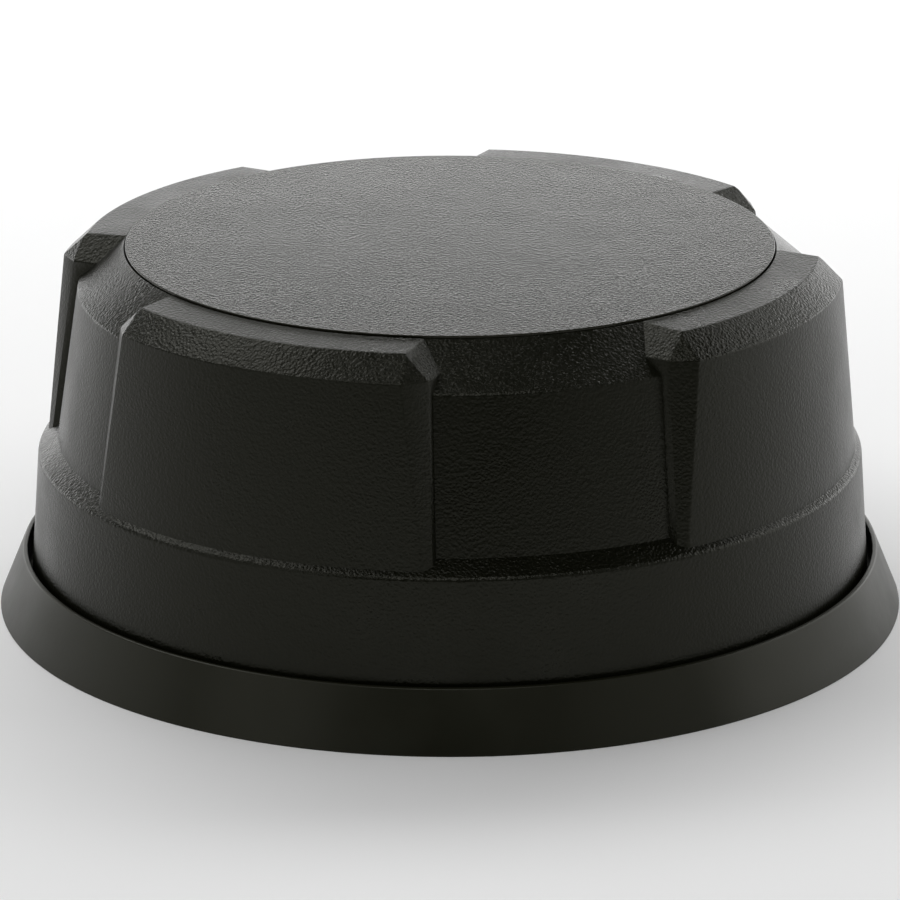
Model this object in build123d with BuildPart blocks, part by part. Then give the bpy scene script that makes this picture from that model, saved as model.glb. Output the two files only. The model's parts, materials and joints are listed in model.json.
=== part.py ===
"""Round GNSS receiver: antenna, amplifier and receiver board in one sealed dome housing.

Millimetres, +Z up. The origin is the centre of the foot, on the surface the receiver stands on.
The four notches between the lugs lie on +X, +Y, -X and -Y; the connector bay is under +Y.
"""
import os
from math import atan2, cos, degrees, radians, sin

from build123d import *

os.makedirs("parts", exist_ok=True)

# ---------------------------------------------------------------- driving dimensions
FOOT_RADIUS = 80.0  # flared skirt, where it meets the ground
TOTAL_HEIGHT = 65.1  # ground to the top of the crown disc
WALL = 2.5  # moulded shell wall
QUARTERS = 4  # lugs and notches

# Skirt
SKIRT_LIP_RADIUS = 75.7
SKIRT_LIP_HEIGHT = 10.4
SKIRT_LIP_WIDTH = 0.8
SKIRT_FOOT_INNER_RADIUS = 66.0
SKIRT_FOOT_THICKNESS = 2.6

# Shell: radii and heights of its outline
FLANGE_TOP = 5.2  # the shell's foot stands here
BAND_FOOT_RADIUS = 74.25
BAND_TOP_RADIUS = 72.6
BAND_TOP = 28.3
RECESS_FOOT_RADIUS = 69.1
RECESS_FOOT = 30.7
RECESS_TOP_RADIUS = 65.1
RECESS_TOP = 57.6
CROWN_SEAM_RADIUS = 57.0
CROWN_RIM = 64.7  # height of the crown round the disc, which slopes down to the lugs' crests
CROWN_SHOULDER = 64.35
CROWN_CEILING = 60.8

# Lugs, with the facets at their ends
LUG_CREST_RADIUS = 64.3
LUG_WALL_TOP_RADIUS = 68.6
LUG_WALL_TOP = 60.3
LUG_WALL_FOOT_RADIUS = 71.6
LUG_WALL_FOOT = 27.0
LUG_END_HEADING = -49.6  # compass heading that the end walls face, for the end by the +X notch
LUG_CORNER_HEADING = -9.3
LUG_END_CREST_OFFSET = 20.85  # distance of a facet from the dome's axis, at the crest
LUG_END_WALL_OFFSET = 25.15  # the same, at the top of the walls
LUG_END_LEAN = 4.7
LUG_CORNER_CREST_OFFSET = 55.5
LUG_CORNER_WALL_OFFSET = 58.75
LUG_CORNER_LEAN = 8.0

# Crown disc
DISC_RADIUS = 56.7
DISC_THICKNESS = 1.8
ADHESIVE_THICKNESS = 0.3
DISC_EDGE_RADIUS = 0.2

# Base plate
PLATE_UNDERSIDE = 1.0
PLATE_TOP = 4.0
PLATE_RADIUS = 65.8
FLANGE_RADIUS = 74.0
SPIGOT_RADIUS = 71.0
SPIGOT_INNER_RADIUS = 67.6
SPIGOT_TOP = 10.0
SEAL_SECTION = 1.6
SEAL_FIT = 0.03  # between the ring and the floor of its groove
SEAL_HEIGHT = 7.7

# Housing screws, on their circle
SCREW_COUNT = 8
SCREW_CIRCLE = 60.5
SCREW_START_ANGLE = 22.5
SCREW_RADIUS = 1.95
SCREW_HEAD_RADIUS = 3.9
SCREW_HEAD_HEIGHT = 2.6
SCREW_PAD_TOP = 8.0
SCREW_SEAT = 4.4
BOSS_RADIUS = 5.0
BOSS_TOP = 34.0
INSERT_LENGTH = 8.0
INSERT_RADIUS = 2.8

# Survey-pole insert, 5/8-11 thread
POLE_THREAD_RADIUS = 6.85
POLE_INSERT_RADIUS = 11.0
POLE_INSERT_FACE = 0.6
POLE_INSERT_TOP = 15.0
HUB_RADIUS = 15.0
HUB_TOP = 18.0

# Bracket inserts, M5
BRACKET_CIRCLE = 45.0
BRACKET_THREAD_RADIUS = 2.1
BRACKET_INSERT_RADIUS = 3.2
BRACKET_INSERT_LENGTH = 10.0
BRACKET_BOSS_RADIUS = 5.5
BRACKET_BOSS_TOP = 14.0

# Connector bay and M12 receptacle
PORT_Y = 40.0
BAY_RADIUS = 18.0
BAY_CEILING = 19.0
BAY_ROOF = 21.5
PORT_MOUTH = 7.0
PORT_THREAD_RADIUS = 6.0
PORT_FLANGE_RADIUS = 9.5
PORT_FLANGE_BOTTOM = 16.4
PORT_FLANGE_TOP = 18.2
PORT_TAIL_RADIUS = 7.0
PORT_TAIL_TOP = 25.4
PORT_BORE_RADIUS = 4.5
PORT_PIN_RADIUS = 0.4
PORT_PIN_CIRCLE = 2.75
PORT_PIN_COUNT = 7
PORT_NUT_HEIGHT = 3.0
PORT_NUT_FLAT = 9.0  # axis to a flat

# Dust cap, which unscrews downwards
CAP_RADIUS = 9.0
CAP_BOTTOM = 5.2
CAP_FLOOR = 6.0
CAP_RIM = 11.8
CAP_FIT = 0.05  # running clearance on the receptacle's thread
CAP_KNURLS = 24
CAP_SEAL_GAP = 0.1

# Vent
VENT_Y = -42.0
VENT_HEAD_RADIUS = 6.0
VENT_STEM_RADIUS = 3.0

# Boards, standoffs and antenna stack
POST_COUNT = 6
POST_CIRCLE = 48.0
POST_RADIUS = 4.0
BOARD_BOTTOM = 26.0
BOARD_THICKNESS = 1.6
BOARD_RADIUS = 54.0
GROUND_BOTTOM = 42.0
GROUND_THICKNESS = 1.5
GROUND_RADIUS = 60.0
GROUND_RIM_HEIGHT = 3.0
LNA_RADIUS = 36.0
LNA_SCREW_CIRCLE = 32.0
LOWER_RADIUS = 38.0
LOWER_PATCH_RADIUS = 33.0
UPPER_RADIUS = 24.0
UPPER_PATCH_RADIUS = 19.5
CERAMIC_THICKNESS = 5.0
PATCH_THICKNESS = 0.2
FEED_RADIUS = 0.5
FEED_CLEARANCE = 0.6
UPPER_FEED_CIRCLE = 8.0
LOWER_FEED_CIRCLE = 20.0
RF_LINK_X = -29.0

# ---------------------------------------------------------------- derived sizes
DISC_BOTTOM = TOTAL_HEIGHT - DISC_THICKNESS
CROWN_FLOOR = DISC_BOTTOM - ADHESIVE_THICKNESS
QUARTER_TURN = 360 / QUARTERS
LUG_END_CHAMFER = degrees(atan2(LUG_END_WALL_OFFSET - LUG_END_CREST_OFFSET,
                                CROWN_SHOULDER - LUG_WALL_TOP))
LUG_CORNER_CHAMFER = degrees(atan2(LUG_CORNER_WALL_OFFSET - LUG_CORNER_CREST_OFFSET,
                                   CROWN_SHOULDER - LUG_WALL_TOP))
SEAL_CENTRE_RADIUS = SPIGOT_RADIUS - SEAL_SECTION / 2 + 0.55
SEAL_GROOVE_RADIUS = SEAL_CENTRE_RADIUS - SEAL_SECTION / 2 - SEAL_FIT
BOARD_TOP = BOARD_BOTTOM + BOARD_THICKNESS
GROUND_TOP = GROUND_BOTTOM + GROUND_THICKNESS
LNA_BOTTOM = GROUND_BOTTOM - BOARD_THICKNESS
LOWER_TOP = GROUND_TOP + CERAMIC_THICKNESS
UPPER_BOTTOM = LOWER_TOP + PATCH_THICKNESS
UPPER_TOP = UPPER_BOTTOM + CERAMIC_THICKNESS
STACK_TOP = UPPER_TOP + PATCH_THICKNESS
ON_BASE = (Align.CENTER, Align.CENTER, Align.MIN)


def facet(heading, offset, height, lean):
    """Plane facing outwards along heading, at that distance from the axis at that height."""
    out = Vector(cos(radians(heading)), sin(radians(heading)), 0)
    normal = out * cos(radians(lean)) + Vector(0, 0, sin(radians(lean)))
    return Plane(origin=out * offset + Vector(0, 0, height), z_dir=normal)


def lug_facets(inset):
    """The cutting planes at both ends of the lug between the +X and +Y notches, moved in by inset."""
    kinds = (
        (LUG_END_HEADING, LUG_END_WALL_OFFSET, LUG_END_LEAN),
        (LUG_END_HEADING, LUG_END_WALL_OFFSET, LUG_END_CHAMFER),
        (LUG_CORNER_HEADING, LUG_CORNER_WALL_OFFSET, LUG_CORNER_LEAN),
        (LUG_CORNER_HEADING, LUG_CORNER_WALL_OFFSET, LUG_CORNER_CHAMFER),
    )
    planes = []
    for heading, offset, lean in kinds:
        moved = offset - inset / cos(radians(lean))
        planes.append(facet(heading, moved, LUG_WALL_TOP, lean))
        planes.append(facet(QUARTER_TURN - heading, moved, LUG_WALL_TOP, lean))
    return planes


def screw_places():
    """The circle of housing screws and everything on their axes."""
    return PolarLocations(SCREW_CIRCLE, SCREW_COUNT, start_angle=SCREW_START_ANGLE)


def bracket_places():
    """The circle of bracket inserts."""
    return PolarLocations(BRACKET_CIRCLE, QUARTERS, start_angle=QUARTER_TURN / 2)


def upper_feed_places():
    """The feed pins of the upper patch."""
    return PolarLocations(UPPER_FEED_CIRCLE, QUARTERS)


def lower_feed_places():
    """The feed pins of the lower patch."""
    return PolarLocations(LOWER_FEED_CIRCLE, QUARTERS, start_angle=QUARTER_TURN / 2)


def lna_screw_places():
    """The screws that hold the amplifier board up to the ground plane."""
    return PolarLocations(LNA_SCREW_CIRCLE, QUARTERS, start_angle=QUARTER_TURN / 2)


def pin_places():
    """The contacts round the receptacle's middle one."""
    return PolarLocations(PORT_PIN_CIRCLE, PORT_PIN_COUNT)


# ---------------------------------------------------------------- shell
LUG_CORE_RADIUS = 50.0  # the lug blanks reach in past the shell's wall, which the cavity then trims
CROWN_SLOPE = (CROWN_RIM - CROWN_SHOULDER) / (LUG_CREST_RADIUS - CROWN_SEAM_RADIUS)
LUG_CORE_TOP = CROWN_RIM + CROWN_SLOPE * (CROWN_SEAM_RADIUS - LUG_CORE_RADIUS)
with BuildPart() as lug:
    with BuildSketch(Plane.XZ):
        with BuildLine():
            Polyline(
                (LUG_CORE_RADIUS, LUG_WALL_FOOT),
                (LUG_WALL_FOOT_RADIUS, LUG_WALL_FOOT),
                (LUG_WALL_TOP_RADIUS, LUG_WALL_TOP),
                (LUG_CREST_RADIUS, CROWN_SHOULDER),
                (LUG_CORE_RADIUS, LUG_CORE_TOP),
                close=True,
            )
        make_face()
    revolve(axis=Axis.Z, revolution_arc=QUARTER_TURN)
    for plane in lug_facets(0):
        split(bisect_by=plane, keep=Keep.BOTTOM)

# The hollow behind each lug keeps its wall as thin as the rest of the shell.
HOLLOW_CORE_RADIUS = 58.6
HOLLOW_FOOT = 31.6
HOLLOW_FOOT_RADIUS = LUG_WALL_FOOT_RADIUS - WALL - 0.4  # follows the lug wall's draft
HOLLOW_SHOULDER = LUG_WALL_TOP - 1.0
HOLLOW_SHOULDER_RADIUS = LUG_WALL_TOP_RADIUS - WALL
with BuildPart() as lug_hollow:
    with BuildSketch(Plane.XZ):
        with BuildLine():
            Polyline(
                (HOLLOW_CORE_RADIUS, HOLLOW_FOOT),
                (HOLLOW_FOOT_RADIUS, HOLLOW_FOOT),
                (HOLLOW_SHOULDER_RADIUS, HOLLOW_SHOULDER),
                (LUG_CREST_RADIUS - 1.0, CROWN_SHOULDER - WALL),
                (HOLLOW_CORE_RADIUS, CROWN_SHOULDER - WALL),
                close=True,
            )
        make_face()
    revolve(axis=Axis.Z, revolution_arc=QUARTER_TURN)
    for plane in lug_facets(WALL):
        split(bisect_by=plane, keep=Keep.BOTTOM)

BAND_EDGE_ROUND = 0.8
CAVITY_FOOT_RADIUS = BAND_FOOT_RADIUS - WALL
RECESS_EDGE_ROUND = 0.6
RIB_THICKNESS = 2.4
RIB_BOTTOM = 10.6
RIB_TOP = 26.0
with BuildPart() as radome:
    with BuildSketch(Plane.XZ):
        with BuildLine():
            Polyline(
                (0, FLANGE_TOP),
                (BAND_FOOT_RADIUS, FLANGE_TOP),
                (BAND_TOP_RADIUS, BAND_TOP),
                (RECESS_FOOT_RADIUS, RECESS_FOOT),
                (RECESS_TOP_RADIUS, RECESS_TOP),
                (CROWN_SEAM_RADIUS, CROWN_RIM),
                (0, CROWN_RIM),
                close=True,
            )
        make_face()
        fillet(vertices().sort_by_distance((BAND_TOP_RADIUS, BAND_TOP))[0], BAND_EDGE_ROUND)
        fillet(vertices().sort_by_distance((RECESS_TOP_RADIUS, RECESS_TOP))[0], RECESS_EDGE_ROUND)
    revolve(axis=Axis.Z)
    with PolarLocations(0, QUARTERS):
        add(lug.part)
    # Cavity, open at the foot
    with BuildSketch(Plane.XZ):
        with BuildLine():
            Polyline(
                (0, FLANGE_TOP - 1),
                (CAVITY_FOOT_RADIUS, FLANGE_TOP - 1),
                (CAVITY_FOOT_RADIUS, FLANGE_TOP),
                (BAND_TOP_RADIUS - 0.9 * WALL, BAND_TOP - 0.6 * WALL),
                (RECESS_FOOT_RADIUS - 0.95 * WALL, RECESS_FOOT - 0.55 * WALL),
                (RECESS_TOP_RADIUS - 0.95 * WALL, RECESS_TOP - 0.5 * WALL),
                (CROWN_SEAM_RADIUS + 0.3, CROWN_CEILING),
                (0, CROWN_CEILING),
                close=True,
            )
        make_face()
    revolve(axis=Axis.Z, mode=Mode.SUBTRACT)
    with PolarLocations(0, QUARTERS):
        add(lug_hollow.part, mode=Mode.SUBTRACT)
    # Seat of the crown disc
    with Locations((0, 0, CROWN_FLOOR)):
        Cylinder(CROWN_SEAM_RADIUS, TOTAL_HEIGHT - CROWN_FLOOR, align=ON_BASE, mode=Mode.SUBTRACT)
    # Screw bosses, each tied to the band by a rib
    with screw_places():
        with Locations((0, 0, SCREW_PAD_TOP)):
            Cylinder(BOSS_RADIUS, BOSS_TOP - SCREW_PAD_TOP, align=ON_BASE)
        with Locations((0, 0, RIB_BOTTOM)):
            Box(BAND_TOP_RADIUS - 1 - SCREW_CIRCLE, RIB_THICKNESS, RIB_TOP - RIB_BOTTOM,
                align=(Align.MIN, Align.CENTER, Align.MIN))
        with Locations((0, 0, SCREW_PAD_TOP)):
            Cylinder(INSERT_RADIUS, INSERT_LENGTH + 3, align=ON_BASE, mode=Mode.SUBTRACT)
radome.part.label = "radome"
export_step(radome.part, "parts/radome.step")

with BuildPart() as top_cap:
    with Locations((0, 0, DISC_BOTTOM)):
        Cylinder(DISC_RADIUS, DISC_THICKNESS, align=ON_BASE)
    fillet(top_cap.edges().group_by(Axis.Z)[-1], DISC_EDGE_RADIUS)
top_cap.part.label = "top_cap"
export_step(top_cap.part, "parts/top_cap.step")

ADHESIVE_WIDTH = 8.0
with BuildPart() as cap_adhesive:
    with Locations((0, 0, CROWN_FLOOR)):
        Cylinder(DISC_RADIUS - 1, ADHESIVE_THICKNESS, align=ON_BASE)
        Cylinder(DISC_RADIUS - 1 - ADHESIVE_WIDTH, ADHESIVE_THICKNESS, align=ON_BASE, mode=Mode.SUBTRACT)
cap_adhesive.part.label = "cap_adhesive"
export_step(cap_adhesive.part, "parts/cap_adhesive.step")

# ---------------------------------------------------------------- skirt
SKIRT_INNER_RADIUS = SKIRT_LIP_RADIUS - SKIRT_LIP_WIDTH
SKIRT_EDGE_ROUND = 0.3
with BuildPart() as skirt_boot:
    with BuildSketch(Plane.XZ):
        with BuildLine():
            Polyline(
                (SKIRT_FOOT_INNER_RADIUS, 0),
                (FOOT_RADIUS, 0),
                (SKIRT_LIP_RADIUS, SKIRT_LIP_HEIGHT),
                (SKIRT_INNER_RADIUS, SKIRT_LIP_HEIGHT),
                (SKIRT_INNER_RADIUS, FLANGE_TOP),
                (FLANGE_RADIUS, FLANGE_TOP),
                (FLANGE_RADIUS, SKIRT_FOOT_THICKNESS),
                (SKIRT_FOOT_INNER_RADIUS, SKIRT_FOOT_THICKNESS),
                close=True,
            )
        section = make_face()
        lip = section.vertices().filter_by_position(Axis.Y, SKIRT_LIP_HEIGHT - 0.01, SKIRT_LIP_HEIGHT + 0.01)
        fillet(lip, SKIRT_EDGE_ROUND)
    revolve(axis=Axis.Z)
skirt_boot.part.label = "skirt_boot"
export_step(skirt_boot.part, "parts/skirt_boot.step")

# ---------------------------------------------------------------- base plate
POST_SCREW_RADIUS = 1.5
POST_HOLE_DEPTH = 9.0
STIFFENER_THICKNESS = 2.0
STIFFENER_TOP = 9.0
SCREW_HOLE_RADIUS = 2.25
SCREW_POCKET_RADIUS = 4.5
VENT_PAD_RADIUS = 9.0
VENT_PAD_TOP = 7.0
VENT_SEAT = 3.2
with BuildPart() as base_plate:
    with BuildSketch(Plane.XZ):
        with BuildLine():
            Polyline(
                (0, PLATE_UNDERSIDE),
                (PLATE_RADIUS, PLATE_UNDERSIDE),
                (PLATE_RADIUS, SKIRT_FOOT_THICKNESS),
                (FLANGE_RADIUS, SKIRT_FOOT_THICKNESS),
                (FLANGE_RADIUS, FLANGE_TOP),
                (SPIGOT_RADIUS, FLANGE_TOP),
                (SPIGOT_RADIUS, SEAL_HEIGHT - SEAL_SECTION / 2),
                (SEAL_GROOVE_RADIUS, SEAL_HEIGHT - SEAL_SECTION / 2),
                (SEAL_GROOVE_RADIUS, SEAL_HEIGHT + SEAL_SECTION / 2),
                (SPIGOT_RADIUS, SEAL_HEIGHT + SEAL_SECTION / 2),
                (SPIGOT_RADIUS, SPIGOT_TOP),
                (SPIGOT_INNER_RADIUS, SPIGOT_TOP),
                (SPIGOT_INNER_RADIUS, PLATE_TOP),
                (0, PLATE_TOP),
                close=True,
            )
        make_face()
    revolve(axis=Axis.Z)
    # Hub, bracket bosses, board posts and their stiffeners
    with Locations((0, 0, PLATE_TOP)):
        Cylinder(HUB_RADIUS, HUB_TOP - PLATE_TOP, align=ON_BASE)
    with bracket_places():
        with Locations((0, 0, PLATE_TOP)):
            Cylinder(BRACKET_BOSS_RADIUS, BRACKET_BOSS_TOP - PLATE_TOP, align=ON_BASE)
    with PolarLocations(0, POST_COUNT):
        with Locations((HUB_RADIUS - 1, 0, PLATE_TOP)):
            Box(POST_CIRCLE - HUB_RADIUS, STIFFENER_THICKNESS, STIFFENER_TOP - PLATE_TOP,
                align=(Align.MIN, Align.CENTER, Align.MIN))
        with Locations((POST_CIRCLE, 0, PLATE_TOP)):
            Cylinder(POST_RADIUS, BOARD_BOTTOM - PLATE_TOP, align=ON_BASE)
    # Connector bay, vent pad and screw pads
    with Locations((0, PORT_Y, PLATE_TOP)):
        Cylinder(BAY_RADIUS + WALL, BAY_ROOF - PLATE_TOP, align=ON_BASE)
    with Locations((0, VENT_Y, PLATE_TOP)):
        Cylinder(VENT_PAD_RADIUS, VENT_PAD_TOP - PLATE_TOP, align=ON_BASE)
    with screw_places():
        with Locations((0, 0, PLATE_TOP)):
            Cylinder(BOSS_RADIUS, SCREW_PAD_TOP - PLATE_TOP, align=ON_BASE)
    # Everything below is cut away from underneath
    with Locations((0, PORT_Y, PLATE_UNDERSIDE)):
        Cylinder(BAY_RADIUS, BAY_CEILING - PLATE_UNDERSIDE, align=ON_BASE, mode=Mode.SUBTRACT)
        Cylinder(PORT_TAIL_RADIUS + 0.1, BAY_ROOF - PLATE_UNDERSIDE, align=ON_BASE, mode=Mode.SUBTRACT)
    with Locations((0, 0, PLATE_UNDERSIDE)):
        Cylinder(POLE_INSERT_RADIUS, POLE_INSERT_TOP - PLATE_UNDERSIDE, align=ON_BASE, mode=Mode.SUBTRACT)
    with bracket_places():
        with Locations((0, 0, PLATE_UNDERSIDE)):
            Cylinder(BRACKET_INSERT_RADIUS, BRACKET_INSERT_LENGTH + 1, align=ON_BASE, mode=Mode.SUBTRACT)
    with PolarLocations(POST_CIRCLE, POST_COUNT):
        with Locations((0, 0, BOARD_BOTTOM - POST_HOLE_DEPTH)):
            Cylinder(POST_SCREW_RADIUS, POST_HOLE_DEPTH, align=ON_BASE, mode=Mode.SUBTRACT)
    with Locations((0, VENT_Y, PLATE_UNDERSIDE)):
        Cylinder(VENT_HEAD_RADIUS + 0.4, VENT_SEAT - PLATE_UNDERSIDE, align=ON_BASE, mode=Mode.SUBTRACT)
        Cylinder(VENT_STEM_RADIUS, VENT_PAD_TOP - PLATE_UNDERSIDE, align=ON_BASE, mode=Mode.SUBTRACT)
    with screw_places():
        with Locations((0, 0, PLATE_UNDERSIDE)):
            Cylinder(SCREW_HOLE_RADIUS, SCREW_PAD_TOP - PLATE_UNDERSIDE, align=ON_BASE, mode=Mode.SUBTRACT)
            Cylinder(SCREW_POCKET_RADIUS, SCREW_SEAT - PLATE_UNDERSIDE, align=ON_BASE, mode=Mode.SUBTRACT)
base_plate.part.label = "base_plate"
export_step(base_plate.part, "parts/base_plate.step")

with BuildPart() as housing_seal:
    with Locations((0, 0, SEAL_HEIGHT)):
        Torus(SEAL_CENTRE_RADIUS, SEAL_SECTION / 2)
housing_seal.part.label = "housing_seal"
export_step(housing_seal.part, "parts/housing_seal.step")

# ---------------------------------------------------------------- housing fasteners
SCREW_SOCKET_RADIUS = 1.7
SCREW_SOCKET_DEPTH = 1.5
SCREW_TIP = 14.5
with BuildPart() as base_screws:
    with screw_places():
        with Locations((0, 0, SCREW_SEAT - SCREW_HEAD_HEIGHT)):
            Cylinder(SCREW_HEAD_RADIUS, SCREW_HEAD_HEIGHT, align=ON_BASE)
        with Locations((0, 0, SCREW_SEAT)):
            Cylinder(SCREW_RADIUS, SCREW_TIP - SCREW_SEAT, align=ON_BASE)
    with BuildSketch(Plane.XY.offset(SCREW_SEAT - SCREW_HEAD_HEIGHT)):
        with screw_places():
            RegularPolygon(SCREW_SOCKET_RADIUS, 6)
    extrude(amount=SCREW_SOCKET_DEPTH, mode=Mode.SUBTRACT)
    head_rims = base_screws.edges().filter_by(GeomType.CIRCLE).group_by(Axis.Z)[0]
    fillet(head_rims, 0.8)
base_screws.part.label = "base_screws"
export_step(base_screws.part, "parts/base_screws.step")

with BuildPart() as radome_inserts:
    with screw_places():
        with Locations((0, 0, SCREW_PAD_TOP)):
            Cylinder(INSERT_RADIUS, INSERT_LENGTH, align=ON_BASE)
            Cylinder(SCREW_RADIUS + 0.05, INSERT_LENGTH, align=ON_BASE, mode=Mode.SUBTRACT)
radome_inserts.part.label = "radome_inserts"
export_step(radome_inserts.part, "parts/radome_inserts.step")

with BuildPart() as pole_insert:
    with Locations((0, 0, POLE_INSERT_FACE)):
        Cylinder(POLE_INSERT_RADIUS, POLE_INSERT_TOP - POLE_INSERT_FACE, align=ON_BASE)
        Cylinder(POLE_THREAD_RADIUS, POLE_INSERT_TOP - POLE_INSERT_FACE, align=ON_BASE, mode=Mode.SUBTRACT)
    mouth = pole_insert.edges().filter_by(GeomType.CIRCLE).group_by(Axis.Z)[0]
    chamfer(mouth, 0.5)
pole_insert.part.label = "pole_insert"
export_step(pole_insert.part, "parts/pole_insert.step")

with BuildPart() as mounting_inserts:
    with bracket_places():
        with Locations((0, 0, PLATE_UNDERSIDE)):
            Cylinder(BRACKET_INSERT_RADIUS, BRACKET_INSERT_LENGTH, align=ON_BASE)
            Cylinder(BRACKET_THREAD_RADIUS, BRACKET_INSERT_LENGTH, align=ON_BASE, mode=Mode.SUBTRACT)
mounting_inserts.part.label = "mounting_inserts"
export_step(mounting_inserts.part, "parts/mounting_inserts.step")

# ---------------------------------------------------------------- receptacle in the bay
with BuildPart() as port_body:
    with Locations((0, PORT_Y, PORT_MOUTH)):
        Cylinder(PORT_THREAD_RADIUS, PORT_FLANGE_BOTTOM - PORT_MOUTH, align=ON_BASE)
    with Locations((0, PORT_Y, PORT_FLANGE_BOTTOM)):
        Cylinder(PORT_FLANGE_RADIUS, PORT_FLANGE_TOP - PORT_FLANGE_BOTTOM, align=ON_BASE)
    with Locations((0, PORT_Y, PORT_FLANGE_TOP)):
        Cylinder(PORT_TAIL_RADIUS, PORT_TAIL_TOP - PORT_FLANGE_TOP, align=ON_BASE)
    with Locations((0, PORT_Y, PORT_MOUTH)):
        Cylinder(PORT_BORE_RADIUS, PORT_TAIL_TOP - PORT_MOUTH, align=ON_BASE, mode=Mode.SUBTRACT)
    chamfer(port_body.edges().filter_by(GeomType.CIRCLE).group_by(Axis.Z)[0], 0.3)
port_body.part.label = "port_body"
export_step(port_body.part, "parts/port_body.step")

INSULATOR_FACE = PORT_MOUTH + 2.5
with BuildPart() as port_insulator:
    with Locations((0, PORT_Y, INSULATOR_FACE)):
        Cylinder(PORT_BORE_RADIUS, PORT_TAIL_TOP - INSULATOR_FACE, align=ON_BASE)
        Cylinder(PORT_PIN_RADIUS, PORT_TAIL_TOP - INSULATOR_FACE, align=ON_BASE, mode=Mode.SUBTRACT)
        with pin_places():
            Cylinder(PORT_PIN_RADIUS, PORT_TAIL_TOP - INSULATOR_FACE, align=ON_BASE, mode=Mode.SUBTRACT)
port_insulator.part.label = "port_insulator"
export_step(port_insulator.part, "parts/port_insulator.step")

PIN_TIP = PORT_MOUTH + 0.8
PIN_END = BOARD_TOP + 0.6
with BuildPart() as port_pins:
    with Locations((0, PORT_Y, PIN_TIP)):
        Cylinder(PORT_PIN_RADIUS, PIN_END - PIN_TIP, align=ON_BASE)
        with pin_places():
            Cylinder(PORT_PIN_RADIUS, PIN_END - PIN_TIP, align=ON_BASE)
port_pins.part.label = "port_pins"
export_step(port_pins.part, "parts/port_pins.step")

with BuildPart() as port_gasket:
    with Locations((0, PORT_Y, PORT_FLANGE_TOP)):
        Cylinder(PORT_FLANGE_RADIUS - 0.4, BAY_CEILING - PORT_FLANGE_TOP, align=ON_BASE)
        Cylinder(PORT_TAIL_RADIUS, BAY_CEILING - PORT_FLANGE_TOP, align=ON_BASE, mode=Mode.SUBTRACT)
port_gasket.part.label = "port_gasket"
export_step(port_gasket.part, "parts/port_gasket.step")

with BuildPart() as port_nut:
    with BuildSketch(Plane.XY.offset(BAY_ROOF)):
        with Locations((0, PORT_Y)):
            RegularPolygon(PORT_NUT_FLAT, 6, major_radius=False)
            Circle(PORT_TAIL_RADIUS, mode=Mode.SUBTRACT)
    extrude(amount=PORT_NUT_HEIGHT)
port_nut.part.label = "port_nut"
export_step(port_nut.part, "parts/port_nut.step")

# ---------------------------------------------------------------- dust cap
CAP_BORE_RADIUS = PORT_THREAD_RADIUS + CAP_FIT
KNURL_RADIUS = 0.6
with BuildPart() as port_cap:
    with Locations((0, PORT_Y, CAP_BOTTOM)):
        Cylinder(CAP_RADIUS, CAP_RIM - CAP_BOTTOM, align=ON_BASE)
    chamfer(port_cap.edges().filter_by(GeomType.CIRCLE), 0.5)
    with Locations((0, PORT_Y, CAP_FLOOR)):
        Cylinder(CAP_BORE_RADIUS, CAP_RIM - CAP_FLOOR, align=ON_BASE, mode=Mode.SUBTRACT)
    with BuildSketch(Plane.XY.offset(CAP_BOTTOM)):
        with Locations((0, PORT_Y)):
            with PolarLocations(CAP_RADIUS, CAP_KNURLS):
                Circle(KNURL_RADIUS)
    extrude(amount=CAP_RIM - CAP_BOTTOM, mode=Mode.SUBTRACT)
port_cap.part.label = "port_cap"
export_step(port_cap.part, "parts/port_cap.step")

with BuildPart() as port_cap_seal:
    with Locations((0, PORT_Y, CAP_FLOOR + CAP_SEAL_GAP)):
        Cylinder(PORT_THREAD_RADIUS - CAP_SEAL_GAP, PORT_MOUTH - CAP_FLOOR - 2 * CAP_SEAL_GAP, align=ON_BASE)
port_cap_seal.part.label = "port_cap_seal"
export_step(port_cap_seal.part, "parts/port_cap_seal.step")

# ---------------------------------------------------------------- vent
VENT_BORE_RADIUS = 1.2
VENT_STEM_TOP = VENT_PAD_TOP + 2.0
with BuildPart() as vent_plug:
    with Locations((0, VENT_Y, VENT_SEAT - 1.8)):
        Cylinder(VENT_HEAD_RADIUS, 1.8, align=ON_BASE)
    with Locations((0, VENT_Y, VENT_SEAT)):
        Cylinder(VENT_STEM_RADIUS, VENT_STEM_TOP - VENT_SEAT, align=ON_BASE)
    with Locations((0, VENT_Y, VENT_SEAT - 1.8)):
        Cylinder(VENT_BORE_RADIUS, VENT_STEM_TOP - VENT_SEAT + 1.8, align=ON_BASE, mode=Mode.SUBTRACT)
        Box(VENT_HEAD_RADIUS, 1.0, 0.8, align=ON_BASE, mode=Mode.SUBTRACT)
vent_plug.part.label = "vent_plug"
export_step(vent_plug.part, "parts/vent_plug.step")

with BuildPart() as vent_membrane:
    with Locations((0, VENT_Y, VENT_STEM_TOP)):
        Cylinder(VENT_STEM_RADIUS - 0.3, 0.3, align=ON_BASE)
vent_membrane.part.label = "vent_membrane"
export_step(vent_membrane.part, "parts/vent_membrane.step")

# ---------------------------------------------------------------- receiver board
with BuildPart() as receiver_board:
    with BuildSketch(Plane.XY.offset(BOARD_BOTTOM)):
        Circle(BOARD_RADIUS)
        with PolarLocations(POST_CIRCLE, POST_COUNT):
            Circle(POST_SCREW_RADIUS, mode=Mode.SUBTRACT)
        with Locations((0, PORT_Y)):
            Circle(PORT_PIN_RADIUS, mode=Mode.SUBTRACT)
            with pin_places():
                Circle(PORT_PIN_RADIUS, mode=Mode.SUBTRACT)
    extrude(amount=BOARD_THICKNESS)
receiver_board.part.label = "receiver_board"
export_step(receiver_board.part, "parts/receiver_board.step")

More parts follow.
